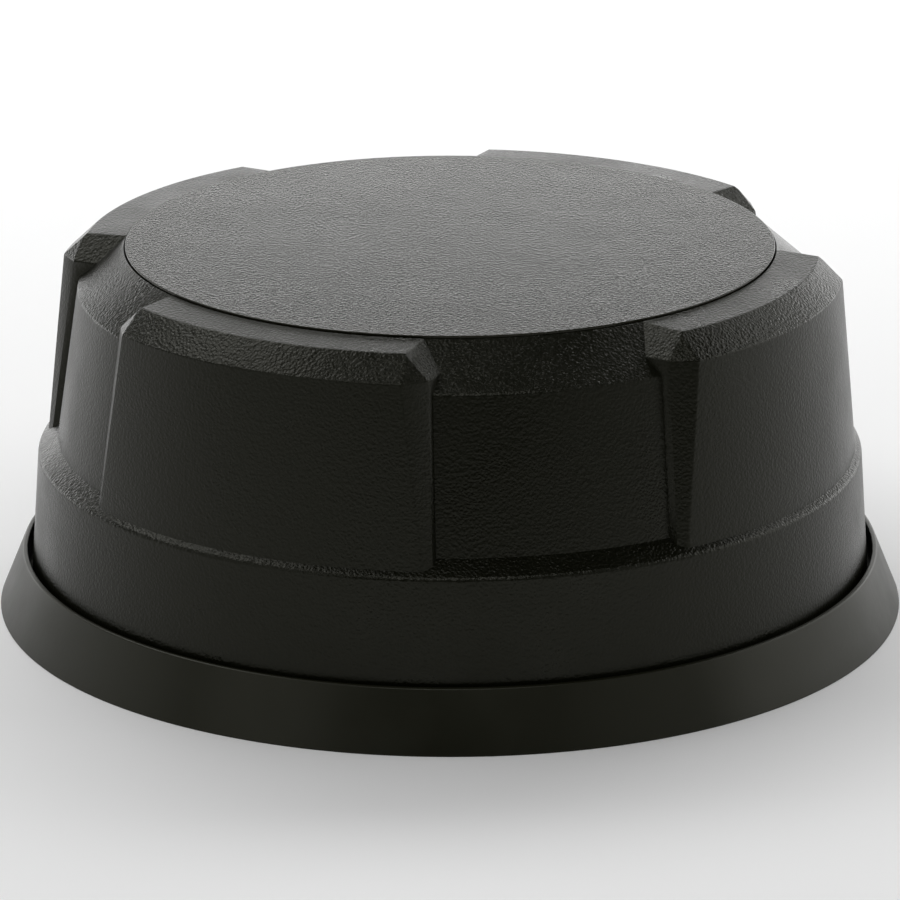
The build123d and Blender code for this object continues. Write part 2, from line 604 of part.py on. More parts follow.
STANDOFF_FLAT = 2.75  # axis to a flat
STUD_LENGTH = 8.0
STANDOFF_HOLE_RADIUS = 1.25
with BuildPart() as board_standoffs:
    with BuildSketch(Plane.XY.offset(BOARD_TOP)):
        with PolarLocations(POST_CIRCLE, POST_COUNT):
            RegularPolygon(STANDOFF_FLAT, 6, major_radius=False)
    extrude(amount=GROUND_BOTTOM - BOARD_TOP)
    with PolarLocations(POST_CIRCLE, POST_COUNT):
        with Locations((0, 0, BOARD_TOP - STUD_LENGTH)):
            Cylinder(POST_SCREW_RADIUS, STUD_LENGTH, align=ON_BASE)
        with Locations((0, 0, GROUND_BOTTOM - STUD_LENGTH)):
            Cylinder(STANDOFF_HOLE_RADIUS, STUD_LENGTH, align=ON_BASE, mode=Mode.SUBTRACT)
board_standoffs.part.label = "board_standoffs"
export_step(board_standoffs.part, "parts/board_standoffs.step")

SHIELD_WALL = 0.4
GNSS_SHIELD_SIZE = (38.0, 30.0, 3.4)
GNSS_SHIELD_PLACE = (14.0, -16.0)
with BuildPart() as gnss_shield:
    with Locations((*GNSS_SHIELD_PLACE, BOARD_TOP)):
        Box(*GNSS_SHIELD_SIZE, align=ON_BASE)
        Box(GNSS_SHIELD_SIZE[0] - 2 * SHIELD_WALL, GNSS_SHIELD_SIZE[1] - 2 * SHIELD_WALL,
            GNSS_SHIELD_SIZE[2] - SHIELD_WALL, align=ON_BASE, mode=Mode.SUBTRACT)
gnss_shield.part.label = "gnss_shield"
export_step(gnss_shield.part, "parts/gnss_shield.step")

with BuildPart() as gnss_chip:
    with Locations((*GNSS_SHIELD_PLACE, BOARD_TOP)):
        Box(14, 14, 1.5, align=ON_BASE)
gnss_chip.part.label = "gnss_chip"
export_step(gnss_chip.part, "parts/gnss_chip.step")

with BuildPart() as wireless_module:
    with Locations((-22, -28, BOARD_TOP)):
        Box(18, 13, 2.4, align=ON_BASE)
wireless_module.part.label = "wireless_module"
export_step(wireless_module.part, "parts/wireless_module.step")

with BuildPart() as processor:
    with Locations((6, 17, BOARD_TOP)):
        Box(14, 14, 1.6, align=ON_BASE)
processor.part.label = "processor"
export_step(processor.part, "parts/processor.step")

with BuildPart() as memory_chips:
    with Locations((-9, 13, BOARD_TOP), (-9, 23, BOARD_TOP)):
        Box(10, 8, 1.1, align=ON_BASE)
memory_chips.part.label = "memory_chips"
export_step(memory_chips.part, "parts/memory_chips.step")

with BuildPart() as power_inductors:
    with Locations((-24, 16, BOARD_TOP), (-34, 16, BOARD_TOP)):
        Box(7, 7, 4, align=ON_BASE)
    fillet(power_inductors.edges().filter_by(Axis.Z), 1.0)
power_inductors.part.label = "power_inductors"
export_step(power_inductors.part, "parts/power_inductors.step")

with BuildPart() as filter_capacitors:
    with Locations((-20, 27, BOARD_TOP), (-28, 27, BOARD_TOP), (-36, 27, BOARD_TOP)):
        Cylinder(3.15, 7, align=ON_BASE)
filter_capacitors.part.label = "filter_capacitors"
export_step(filter_capacitors.part, "parts/filter_capacitors.step")

CELL_PLACE = (33.0, 19.0)
CELL_RADIUS = 10.0
CELL_THICKNESS = 3.2
HOLDER_FLOOR = 0.6
with BuildPart() as cell_holder:
    with Locations((*CELL_PLACE, BOARD_TOP)):
        Cylinder(CELL_RADIUS + 1.2, CELL_THICKNESS, align=ON_BASE)
    with Locations((*CELL_PLACE, BOARD_TOP + HOLDER_FLOOR)):
        Cylinder(CELL_RADIUS, CELL_THICKNESS, align=ON_BASE, mode=Mode.SUBTRACT)
cell_holder.part.label = "cell_holder"
export_step(cell_holder.part, "parts/cell_holder.step")

with BuildPart() as backup_cell:
    with Locations((*CELL_PLACE, BOARD_TOP + HOLDER_FLOOR)):
        Cylinder(CELL_RADIUS, CELL_THICKNESS, align=ON_BASE)
backup_cell.part.label = "backup_cell"
export_step(backup_cell.part, "parts/backup_cell.step")

# ---------------------------------------------------------------- antenna stack
ANTENNA_SCREW_RADIUS = 1.5
TAPPED_RADIUS = 1.0
RIM_THICKNESS = 1.2
with BuildPart() as ground_plane:
    with BuildSketch(Plane.XY.offset(GROUND_BOTTOM)):
        Circle(GROUND_RADIUS)
        Circle(ANTENNA_SCREW_RADIUS, mode=Mode.SUBTRACT)
        with PolarLocations(POST_CIRCLE, POST_COUNT):
            Circle(ANTENNA_SCREW_RADIUS, mode=Mode.SUBTRACT)
        with lna_screw_places():
            Circle(TAPPED_RADIUS, mode=Mode.SUBTRACT)
        with upper_feed_places():
            Circle(2 * FEED_CLEARANCE, mode=Mode.SUBTRACT)
        with lower_feed_places():
            Circle(2 * FEED_CLEARANCE, mode=Mode.SUBTRACT)
    extrude(amount=GROUND_THICKNESS)
    with BuildSketch(Plane.XY.offset(GROUND_TOP)):
        Circle(GROUND_RADIUS)
        Circle(GROUND_RADIUS - RIM_THICKNESS, mode=Mode.SUBTRACT)
    extrude(amount=GROUND_RIM_HEIGHT)
ground_plane.part.label = "ground_plane"
export_step(ground_plane.part, "parts/ground_plane.step")

with BuildPart() as ground_plane_screws:
    with PolarLocations(POST_CIRCLE, POST_COUNT):
        with Locations((0, 0, GROUND_TOP)):
            Cylinder(2.7, 1.8, align=ON_BASE)
        with Locations((0, 0, GROUND_TOP - 6)):
            Cylinder(STANDOFF_HOLE_RADIUS, 6, align=ON_BASE)
ground_plane_screws.part.label = "ground_plane_screws"
export_step(ground_plane_screws.part, "parts/ground_plane_screws.step")


with BuildPart() as lna_board:
    with BuildSketch(Plane.XY.offset(LNA_BOTTOM)):
        Circle(LNA_RADIUS)
        with lna_screw_places():
            Circle(TAPPED_RADIUS, mode=Mode.SUBTRACT)
        with upper_feed_places():
            Circle(FEED_RADIUS, mode=Mode.SUBTRACT)
        with lower_feed_places():
            Circle(FEED_RADIUS, mode=Mode.SUBTRACT)
    extrude(amount=BOARD_THICKNESS)
lna_board.part.label = "lna_board"
export_step(lna_board.part, "parts/lna_board.step")

LNA_SHIELD_SIZE = (44.0, 34.0, 3.2)
with BuildPart() as lna_shield:
    with Locations((0, 0, LNA_BOTTOM - LNA_SHIELD_SIZE[2])):
        Box(*LNA_SHIELD_SIZE, align=ON_BASE)
    with Locations((0, 0, LNA_BOTTOM - LNA_SHIELD_SIZE[2] + SHIELD_WALL)):
        Box(LNA_SHIELD_SIZE[0] - 2 * SHIELD_WALL, LNA_SHIELD_SIZE[1] - 2 * SHIELD_WALL,
            LNA_SHIELD_SIZE[2], align=ON_BASE, mode=Mode.SUBTRACT)
lna_shield.part.label = "lna_shield"
export_step(lna_shield.part, "parts/lna_shield.step")

CHIP_THICKNESS = 0.9
with BuildPart() as lna_chips:
    with Locations((0, 0, LNA_BOTTOM - CHIP_THICKNESS)):
        with GridLocations(24, 0, 2, 1):
            Box(4, 4, CHIP_THICKNESS, align=ON_BASE)
        Box(5, 3, CHIP_THICKNESS, align=ON_BASE)
lna_chips.part.label = "lna_chips"
export_step(lna_chips.part, "parts/lna_chips.step")

with BuildPart() as lna_screws:
    with lna_screw_places():
        with Locations((0, 0, LNA_BOTTOM - 1.4)):
            Cylinder(1.9, 1.4, align=ON_BASE)
        with Locations((0, 0, LNA_BOTTOM)):
            Cylinder(TAPPED_RADIUS, BOARD_THICKNESS + GROUND_THICKNESS, align=ON_BASE)
lna_screws.part.label = "lna_screws"
export_step(lna_screws.part, "parts/lna_screws.step")

with BuildPart() as lower_substrate:
    with BuildSketch(Plane.XY.offset(GROUND_TOP)):
        Circle(LOWER_RADIUS)
        Circle(ANTENNA_SCREW_RADIUS, mode=Mode.SUBTRACT)
        with lna_screw_places():
            Circle(TAPPED_RADIUS, mode=Mode.SUBTRACT)
        with upper_feed_places():
            Circle(FEED_CLEARANCE, mode=Mode.SUBTRACT)
        with lower_feed_places():
            Circle(FEED_RADIUS, mode=Mode.SUBTRACT)
    extrude(amount=CERAMIC_THICKNESS)
lower_substrate.part.label = "lower_substrate"
export_step(lower_substrate.part, "parts/lower_substrate.step")

with BuildPart() as lower_patch:
    with BuildSketch(Plane.XY.offset(LOWER_TOP)):
        Circle(LOWER_PATCH_RADIUS)
        Circle(ANTENNA_SCREW_RADIUS, mode=Mode.SUBTRACT)
        with upper_feed_places():
            Circle(2 * FEED_CLEARANCE, mode=Mode.SUBTRACT)
        with lower_feed_places():
            Circle(FEED_RADIUS, mode=Mode.SUBTRACT)
    extrude(amount=PATCH_THICKNESS)
lower_patch.part.label = "lower_patch"
export_step(lower_patch.part, "parts/lower_patch.step")

with BuildPart() as upper_substrate:
    with BuildSketch(Plane.XY.offset(UPPER_BOTTOM)):
        Circle(UPPER_RADIUS)
        Circle(ANTENNA_SCREW_RADIUS, mode=Mode.SUBTRACT)
        with upper_feed_places():
            Circle(FEED_RADIUS, mode=Mode.SUBTRACT)
        with lower_feed_places():
            Circle(2 * FEED_CLEARANCE, mode=Mode.SUBTRACT)
    extrude(amount=CERAMIC_THICKNESS)
upper_substrate.part.label = "upper_substrate"
export_step(upper_substrate.part, "parts/upper_substrate.step")

with BuildPart() as upper_patch:
    with BuildSketch(Plane.XY.offset(UPPER_TOP)):
        Circle(UPPER_PATCH_RADIUS)
        Circle(ANTENNA_SCREW_RADIUS, mode=Mode.SUBTRACT)
        with upper_feed_places():
            Circle(FEED_RADIUS, mode=Mode.SUBTRACT)
    extrude(amount=PATCH_THICKNESS)
upper_patch.part.label = "upper_patch"
export_step(upper_patch.part, "parts/upper_patch.step")

PIN_STICKOUT = 0.3
with BuildPart() as feed_pins:
    with upper_feed_places():
        with Locations((0, 0, LNA_BOTTOM - PIN_STICKOUT)):
            Cylinder(FEED_RADIUS, STACK_TOP - LNA_BOTTOM + 2 * PIN_STICKOUT, align=ON_BASE)
    with lower_feed_places():
        with Locations((0, 0, LNA_BOTTOM - PIN_STICKOUT)):
            Cylinder(FEED_RADIUS, UPPER_BOTTOM - LNA_BOTTOM + 2 * PIN_STICKOUT, align=ON_BASE)
feed_pins.part.label = "feed_pins"
export_step(feed_pins.part, "parts/feed_pins.step")

with BuildPart() as antenna_screw:
    with Locations((0, 0, GROUND_BOTTOM)):
        Cylinder(ANTENNA_SCREW_RADIUS, STACK_TOP - GROUND_BOTTOM, align=ON_BASE)
    with Locations((0, 0, STACK_TOP)):
        Cylinder(2 * ANTENNA_SCREW_RADIUS, 1.6, align=ON_BASE)
antenna_screw.part.label = "antenna_screw"
export_step(antenna_screw.part, "parts/antenna_screw.step")

JACK_RADIUS = 3.0
JACK_HEIGHT = 3.0
LINK_RADIUS = 1.9
LINK_GAP = 0.8
with BuildPart() as rf_jacks:
    with Locations((RF_LINK_X, 0, BOARD_TOP), (RF_LINK_X, 0, LNA_BOTTOM - JACK_HEIGHT)):
        Cylinder(JACK_RADIUS, JACK_HEIGHT, align=ON_BASE)
    with Locations((RF_LINK_X, 0, BOARD_TOP + LINK_GAP)):
        Cylinder(LINK_RADIUS, LNA_BOTTOM - BOARD_TOP - 2 * LINK_GAP, align=ON_BASE, mode=Mode.SUBTRACT)
rf_jacks.part.label = "rf_jacks"
export_step(rf_jacks.part, "parts/rf_jacks.step")

with BuildPart() as rf_link:
    with Locations((RF_LINK_X, 0, BOARD_TOP + LINK_GAP)):
        Cylinder(LINK_RADIUS, LNA_BOTTOM - BOARD_TOP - 2 * LINK_GAP, align=ON_BASE)
rf_link.part.label = "rf_link"
export_step(rf_link.part, "parts/rf_link.step")
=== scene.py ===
"""Round GNSS receiver: a black dome with four lugs on a flared rubber skirt, and its underside.

Laid out as an add-on. Each operator makes one piece, or one group of like pieces, round the CAD frame.
Metres, +Z up, with the origin at the centre of the foot.
"""
import json
from math import atan2, ceil, cos, pi, radians, sin, sqrt

import bmesh
import bpy
from bpy.props import FloatProperty, FloatVectorProperty, PointerProperty
from mathutils import Matrix, Vector


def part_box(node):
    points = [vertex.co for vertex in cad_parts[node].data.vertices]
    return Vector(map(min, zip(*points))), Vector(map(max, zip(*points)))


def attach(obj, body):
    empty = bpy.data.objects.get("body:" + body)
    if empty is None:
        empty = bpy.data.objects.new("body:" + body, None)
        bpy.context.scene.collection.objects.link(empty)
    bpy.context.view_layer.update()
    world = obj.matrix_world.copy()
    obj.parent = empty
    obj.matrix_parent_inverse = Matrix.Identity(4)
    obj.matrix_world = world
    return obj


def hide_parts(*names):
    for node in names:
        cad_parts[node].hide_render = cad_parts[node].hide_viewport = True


bl_info = {
    "name": "GNSS receiver",
    "version": (1, 0, 0),
    "blender": (4, 5, 0),
    "location": "3D View > Sidebar > Receiver",
    "description": "Builds a round GNSS receiver round its CAD frame",
    "category": "Object",
}

MM = 0.001
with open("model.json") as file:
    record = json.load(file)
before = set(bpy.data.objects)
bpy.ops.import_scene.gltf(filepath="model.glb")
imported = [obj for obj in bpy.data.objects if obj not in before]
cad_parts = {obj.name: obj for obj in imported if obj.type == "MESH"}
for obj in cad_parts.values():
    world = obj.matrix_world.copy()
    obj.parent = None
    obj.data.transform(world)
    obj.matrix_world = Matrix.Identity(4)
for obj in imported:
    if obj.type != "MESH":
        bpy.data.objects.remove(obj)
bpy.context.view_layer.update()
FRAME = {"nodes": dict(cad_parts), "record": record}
QUARTERS = 4
QUARTER_TURN = radians(90)
ROUND_STEPS = 360


def top_of(node):
    """Height of a CAD node's top."""
    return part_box(node)[1].z


def foot_of(node):
    """Height of a CAD node's underside."""
    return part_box(node)[0].z


def radius_of(node):
    """Radius of a round CAD node, from its width."""
    low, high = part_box(node)
    return (high.x - low.x) / 2


def slot_of(node):
    """Material slot of a CAD node."""
    return next(part["material_slot"] for part in FRAME["record"]["subparts"] if part["node"] == node)


def centre_of(node):
    """Middle of a CAD node's box."""
    low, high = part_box(node)
    return (low + high) / 2


# ---------------------------------------------------------------- settings
def length(name, description, default):
    """A size that a user may change, in metres."""
    return FloatProperty(name=name, description=description, default=default, min=0.0,
                         subtype="DISTANCE", unit="LENGTH", precision=5)


def colour(name, description, default):
    """A colour that a user may change."""
    return FloatVectorProperty(name=name, description=description, default=default, size=3,
                               min=0.0, max=1.0, subtype="COLOR")


class ShellSizes(bpy.types.PropertyGroup):
    """Outline of the moulded dome."""

    band_top_radius: length("Band top radius", "Radius where the band meets the ledge", 72.6 * MM)
    band_top: length("Band top", "Height of the band's top edge", 28.3 * MM)
    recess_foot_radius: length("Recess foot radius", "Radius of the notch wall at its foot", 69.1 * MM)
    recess_foot: length("Recess foot", "Height of the notch wall's foot", 30.7 * MM)
    recess_top_radius: length("Recess top radius", "Radius of the notch wall at its top", 65.1 * MM)
    recess_top: length("Recess top", "Height of the notch wall's top", 57.6 * MM)
    lug_foot_radius: length("Lug foot radius", "Radius of the lug wall, below the ledge", 71.6 * MM)
    lug_foot: length("Lug foot", "Height where the lug blanks end, inside the band", 27.0 * MM)
    lug_wall_radius: length("Lug wall radius", "Radius of the lug wall at its top", 68.6 * MM)
    lug_wall_top: length("Lug wall top", "Height where the lug's top chamfer starts", 60.3 * MM)
    lug_crest_radius: length("Lug crest radius", "Radius of the outer edge of the lug's top", 64.3 * MM)
    lug_crest: length("Lug crest", "Height of the outer edge of the lug's top", 64.35 * MM)
    edge_round: length("Edge round", "Width of the rounding along the lug's edges", 0.22 * MM)
    wall: length("Wall", "Thickness of the moulded wall", 2.5 * MM)
    seam: length("Seam", "Width of the gap round the crown disc", 0.2 * MM)


class TrimSizes(bpy.types.PropertyGroup):
    """Outline of the crown disc, the skirt and the parts underneath."""

    disc_edge: length("Disc edge round", "Rounding of the crown disc's edge", 0.15 * MM)
    lip_radius: length("Skirt lip radius", "Outer radius of the skirt's upper lip", 75.7 * MM)
    foot_inner: length("Skirt foot inner radius", "Inner radius of the skirt's foot", 66.0 * MM)
    foot_thickness: length("Skirt foot thickness", "Thickness of the skirt's foot", 2.6 * MM)
    lip_width: length("Skirt lip width", "Width of the skirt's upper lip", 0.8 * MM)
    lip_round: length("Skirt lip round", "Rounding of the skirt's lip", 0.25 * MM)
    cap_bore: length("Cap bore", "Radius of the dust cap's bore", 6.05 * MM)
    cap_floor: length("Cap floor", "Height of the floor inside the dust cap", 6.0 * MM)
    knurl_depth: length("Knurl depth", "Depth of the dust cap's grooves", 0.5 * MM)
    pole_pitch: length("Pole thread pitch", "Pitch of the 5/8-11 thread", 25.4 / 11 * MM)
    bracket_pitch: length("Bracket thread pitch", "Pitch of the M5 thread", 0.8 * MM)


class Finishes(bpy.types.PropertyGroup):
    """Colours of the visible materials."""

    shell: colour("Shell", "Black moulded plastic", (0.0024, 0.0026, 0.0006))
    disc: colour("Crown disc", "Black textured plastic", (0.0060, 0.0062, 0.0030))
    skirt: colour("Skirt", "Black rubber", (0.0068, 0.0070, 0.0034))
    base: colour("Base", "Black powder coat", (0.018, 0.018, 0.019))
    metal: colour("Plated metal", "Nickel plating", (0.56, 0.53, 0.48))
    brass: colour("Brass", "Machined brass", (0.62, 0.43, 0.18))
    steel: colour("Stainless steel", "Fasteners", (0.50, 0.49, 0.47))
    floor: colour("Floor", "Pale studio floor", (0.88, 0.88, 0.88))


class View(bpy.types.PropertyGroup):
    """Camera and lights."""

    azimuth: FloatProperty(name="Azimuth", description="Camera's turn about the receiver",
                           default=radians(-15.0), subtype="ANGLE", unit="ROTATION")
    elevation: FloatProperty(name="Elevation", description="Camera's height above the horizon",
                             default=radians(18.4), subtype="ANGLE", unit="ROTATION")
    distance: length("Distance", "Camera to the middle of the receiver", 0.9159)
    aim: length("Aim height", "Height that the camera looks at", 26.5 * MM)
    lens: FloatProperty(name="Lens", description="Focal length", default=207.0, min=1.0,
                        subtype="DISTANCE_CAMERA", unit="CAMERA")


def settings():
    """The four groups of settings."""
    scene = bpy.context.scene
    return scene.receiver_shell, scene.receiver_trim, scene.receiver_finishes, scene.receiver_view


# ---------------------------------------------------------------- material groups
def node_group(name, inputs, outputs):
    """A new shader node group with named sockets, and its input and output nodes."""
    group = bpy.data.node_groups.new(name, "ShaderNodeTree")
    for socket, kind, default in inputs:
        made = group.interface.new_socket(socket, in_out="INPUT", socket_type=kind)
        if default is not None:
            made.default_value = default
    for socket, kind in outputs:
        group.interface.new_socket(socket, in_out="OUTPUT", socket_type=kind)
    start = group.nodes.new("NodeGroupInput")
    end = group.nodes.new("NodeGroupOutput")
    return group, start, end


def add_node(tree, kind, inputs=None, **settings_of):
    """A node with its settings, unlinked socket values and links in one call."""
    node = tree.nodes.new(kind)
    for key, value in settings_of.items():
        setattr(node, key, value)
    for key, value in (inputs or {}).items():
        if isinstance(value, bpy.types.NodeSocket):
            tree.links.new(value, node.inputs[key])
        else:
            node.inputs[key].default_value = value
    return node


def grain_group():
    """Moulding grain: rounded pits of a given size. Puts out a height from 0 to 1."""
    if "Moulding grain" in bpy.data.node_groups:
        return bpy.data.node_groups["Moulding grain"]
    group, start, end = node_group(
        "Moulding grain",
        [("Grain size", "NodeSocketFloat", 0.0005), ("Softness", "NodeSocketFloat", 0.6)],
        [("Height", "NodeSocketFloat")])
    place = add_node(group, "ShaderNodeTexCoord")
    per_metre = add_node(group, "ShaderNodeMath", {0: 1.0, 1: start.outputs["Grain size"]},
                         operation="DIVIDE")
    scaled = add_node(group, "ShaderNodeVectorMath",
                      {0: place.outputs["Object"], "Scale": per_metre.outputs[0]}, operation="SCALE")
    pits = add_node(group, "ShaderNodeTexVoronoi", {"Vector": scaled.outputs[0], "Scale": 1.0,
                                                    "Smoothness": start.outputs["Softness"]},
                    voronoi_dimensions="3D", feature="SMOOTH_F1")
    rough = add_node(group, "ShaderNodeTexNoise",
                     {"Vector": scaled.outputs[0], "Scale": 1.5, "Detail": 2.0})
    mixed = add_node(group, "ShaderNodeMath", {0: pits.outputs["Distance"], 1: rough.outputs["Fac"]},
                     operation="ADD")
    half = add_node(group, "ShaderNodeMath", {0: mixed.outputs[0], 1: 0.5}, operation="MULTIPLY")
    group.links.new(half.outputs[0], end.inputs["Height"])
    return group


def mottle_group():
    """Slow unevenness of colour and gloss over a moulding. Puts out a mask from 0 to 1."""
    if "Mottle" in bpy.data.node_groups:
        return bpy.data.node_groups["Mottle"]
    group, start, end = node_group("Mottle", [("Patch size", "NodeSocketFloat", 0.02)],
                                   [("Mask", "NodeSocketFloat")])
    place = add_node(group, "ShaderNodeTexCoord")
    per_metre = add_node(group, "ShaderNodeMath", {0: 1.0, 1: start.outputs["Patch size"]},
                         operation="DIVIDE")
    scaled = add_node(group, "ShaderNodeVectorMath",
                      {0: place.outputs["Object"], "Scale": per_metre.outputs[0]}, operation="SCALE")
    cloud = add_node(group, "ShaderNodeTexNoise",
                     {"Vector": scaled.outputs[0], "Scale": 1.0, "Detail": 4.0, "Roughness": 0.6})
    group.links.new(cloud.outputs["Fac"], end.inputs["Mask"])
    return group


def use_group(tree, group, inputs=None):
    """An instance of a node group in a material."""
    node = tree.nodes.new("ShaderNodeGroup")
    node.node_tree = group
    for key, value in (inputs or {}).items():
        node.inputs[key].default_value = value
    return node


def start_material(name):
    """A new material, its tree and its Principled shader."""
    material = bpy.data.materials.new(name)
    material.use_nodes = True
    tree = material.node_tree
    return material, tree, tree.nodes["Principled BSDF"]


def moulded(name, base, grain_size, grain_depth, roughness, level=0.5, spread=0.06, side_grain=1.0):
    """Moulded plastic or rubber: grain, uneven gloss and a slight unevenness of colour.

    side_grain is the share of the grain's depth that upright faces keep."""
    if name in bpy.data.materials:
        return bpy.data.materials[name]
    material, tree, shader = start_material(name)
    shader.inputs["Specular IOR Level"].default_value = level
    shader.inputs["Specular Tint"].default_value = (1.0, 1.0, 0.87, 1.0)
    mottle = use_group(tree, mottle_group(), {"Patch size": 0.018})
    gloss = add_node(tree, "ShaderNodeMapRange",
                     {"Value": mottle.outputs["Mask"], "From Min": 0.3, "From Max": 0.7,
                      "To Min": roughness - spread, "To Max": roughness + spread})
    tree.links.new(gloss.outputs["Result"], shader.inputs["Roughness"])
    paler = tuple(min(1.0, 1.35 * c) for c in base) + (1.0,)
    tint = add_node(tree, "ShaderNodeMix", {"Factor": mottle.outputs["Mask"]}, data_type="RGBA")
    tint.inputs[6].default_value = (*base, 1.0)
    tint.inputs[7].default_value = paler
    tree.links.new(tint.outputs[2], shader.inputs["Base Color"])
    grain = use_group(tree, grain_group(), {"Grain size": grain_size, "Softness": 0.6})
    surface = add_node(tree, "ShaderNodeNewGeometry")
    facing = add_node(tree, "ShaderNodeSeparateXYZ", {"Vector": surface.outputs["Normal"]})
    lift = add_node(tree, "ShaderNodeMapRange",
                    {"Value": facing.outputs["Z"], "From Min": 0.2, "From Max": 0.6, "To Min": side_grain,
                     "To Max": 1.0})
    height = add_node(tree, "ShaderNodeMath", {0: grain.outputs["Height"], 1: lift.outputs["Result"]},
                      operation="MULTIPLY")
    bump = add_node(tree, "ShaderNodeBump", {"Strength": 1.0, "Distance": grain_depth,
                                             "Height": height.outputs[0]})
    tree.links.new(bump.outputs["Normal"], shader.inputs["Normal"])
    return material


def turned_metal(name, base, roughness, brush_depth=0.00001):
    """Bare or plated metal with fine tool marks and uneven gloss."""
    if name in bpy.data.materials:
        return bpy.data.materials[name]
    material, tree, shader = start_material(name)
    shader.inputs["Metallic"].default_value = 1.0
    mottle = use_group(tree, mottle_group(), {"Patch size": 0.004})
    gloss = add_node(tree, "ShaderNodeMapRange",
                     {"Value": mottle.outputs["Mask"], "From Min": 0.3, "From Max": 0.7,
                      "To Min": roughness - 0.06, "To Max": roughness + 0.08})
    tree.links.new(gloss.outputs["Result"], shader.inputs["Roughness"])
    duller = tuple(0.8 * c for c in base) + (1.0,)
    tint = add_node(tree, "ShaderNodeMix", {"Factor": mottle.outputs["Mask"]}, data_type="RGBA")
    tint.inputs[6].default_value = (*base, 1.0)
    tint.inputs[7].default_value = duller
    tree.links.new(tint.outputs[2], shader.inputs["Base Color"])
    marks = use_group(tree, grain_group(), {"Grain size": 0.00025, "Softness": 0.3})
    bump = add_node(tree, "ShaderNodeBump", {"Strength": 0.5, "Distance": brush_depth,
                                             "Height": marks.outputs["Height"]})
    tree.links.new(bump.outputs["Normal"], shader.inputs["Normal"])
    return material


def shell_plastic():
    """Black weatherproof plastic with a spark-eroded grain."""
    return moulded("Housing plastic", settings()[2].shell, 0.00054, 0.00020, 0.30, level=0.24,
                    side_grain=0.45)


def disc_plastic():
    """The crown disc's finer, more even texture."""
    return moulded("Disc plastic", settings()[2].disc, 0.00048, 0.00008, 0.24, level=0.22,
                    spread=0.02)


def skirt_rubber():
    """Smooth matte rubber."""
    return moulded("Skirt rubber", settings()[2].skirt, 0.0012, 0.00001, 0.37, level=0.27)


def base_coat():
    """Powder coat on the die-cast base."""
    return moulded("Base powder coat", settings()[2].base, 0.0004, 0.00003, 0.55, level=0.5)


def dark_plastic():
    """Plain black nylon of small parts."""
    return moulded("Small black parts", (0.02, 0.02, 0.02), 0.0003, 0.00001, 0.45)


def seal_rubber():
    """Rubber of seals and gaskets."""
    return moulded("Seal rubber", (0.014, 0.014, 0.014), 0.0006, 0.00001, 0.6, level=0.4)


def plated():
    """Nickel plating."""
    return turned_metal("Nickel plate", settings()[2].metal, 0.3)


def cap_metal():
    """Black-anodised aluminium of the dust cap."""
    return turned_metal("Black anodised cap", (0.035, 0.035, 0.038), 0.42)


def brass():
    """Machined brass."""
    return turned_metal("Brass", settings()[2].brass, 0.32)


def steel():
    """Stainless steel fasteners."""
    return turned_metal("Stainless steel", settings()[2].steel, 0.35)


def inner_finish(slot):
    """Finish of a sealed inner piece, by its slot in the record."""
    colours = {
        "board_green": (0.01, 0.09, 0.03),
        "substrate_ceramic": (0.66, 0.60, 0.50),
        "membrane": (0.75, 0.75, 0.75),
        "nylon": (0.80, 0.79, 0.74),
        "adhesive": (0.03, 0.03, 0.03),
    }
    metals = {
        "shield_tin": (0.6, 0.6, 0.58),
        "capacitor_can": (0.65, 0.65, 0.66),
        "bare_aluminium": (0.72, 0.72, 0.74),
        "patch_silver": (0.78, 0.77, 0.74),
        "contact_gold": (0.80, 0.55, 0.20),
    }
    if slot in metals:
        return turned_metal(slot.replace("_", " "), metals[slot], 0.35)
    if slot in colours:
        return moulded(slot.replace("_", " "), colours[slot], 0.0004, 0.00001, 0.5)
    return {"brass": brass, "nickel": plated, "stainless": steel, "seal_rubber": seal_rubber,
            "base_paint": base_coat}.get(slot, dark_plastic)()


# ---------------------------------------------------------------- mesh tools
def finished(name, mesh, material, body, nodes=(), smooth_angle=35.0, weighted=True):
    """Turns a mesh into a piece: smooth faces, crisp edges, a material and a body."""
    piece = bpy.data.objects.new(name, mesh)
    bpy.context.scene.collection.objects.link(piece)
    mesh.materials.clear()
    mesh.materials.append(material)
    mesh.polygons.foreach_set("use_smooth", [True] * len(mesh.polygons))
    mesh.set_sharp_from_angle(angle=radians(smooth_angle))
    if weighted:
        modifier = piece.modifiers.new("Even shading", "WEIGHTED_NORMAL")
        modifier.keep_sharp = True
    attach(piece, body)
    if nodes:
        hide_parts(*nodes)
    return piece


def mesh_of(bm, name):
    """Cleans a bmesh and turns it into a mesh, with its faces pointing outwards."""
    bmesh.ops.remove_doubles(bm, verts=bm.verts, dist=1e-6)
    bmesh.ops.dissolve_degenerate(bm, edges=bm.edges, dist=1e-6)
    bmesh.ops.recalc_face_normals(bm, faces=bm.faces)
    mesh = bpy.data.meshes.new(name)
    bm.to_mesh(mesh)
    bm.free()
    return mesh


def outline_ring(bm, points, rounds=(), segments=4):
    """A closed outline of (radius, height) points in the XZ plane, with some corners rounded.

    rounds holds (point number, width) pairs. The outline's edges and vertices are given back."""
    corners = [bm.verts.new((r, 0.0, z)) for r, z in points]
    face = bm.faces.new(corners)
    for number, width in rounds:
        bmesh.ops.bevel(bm, geom=[corners[number]], offset=width, offset_type="OFFSET", segments=segments,
                        profile=0.5, affect="VERTICES", material=-1, clamp_overlap=False)
    face = max(bm.faces, key=lambda f: f.calc_area())
    edges, verts = list(face.edges), list(face.verts)
    bmesh.ops.delete(bm, geom=[face], context="FACES_ONLY")
    return verts + edges


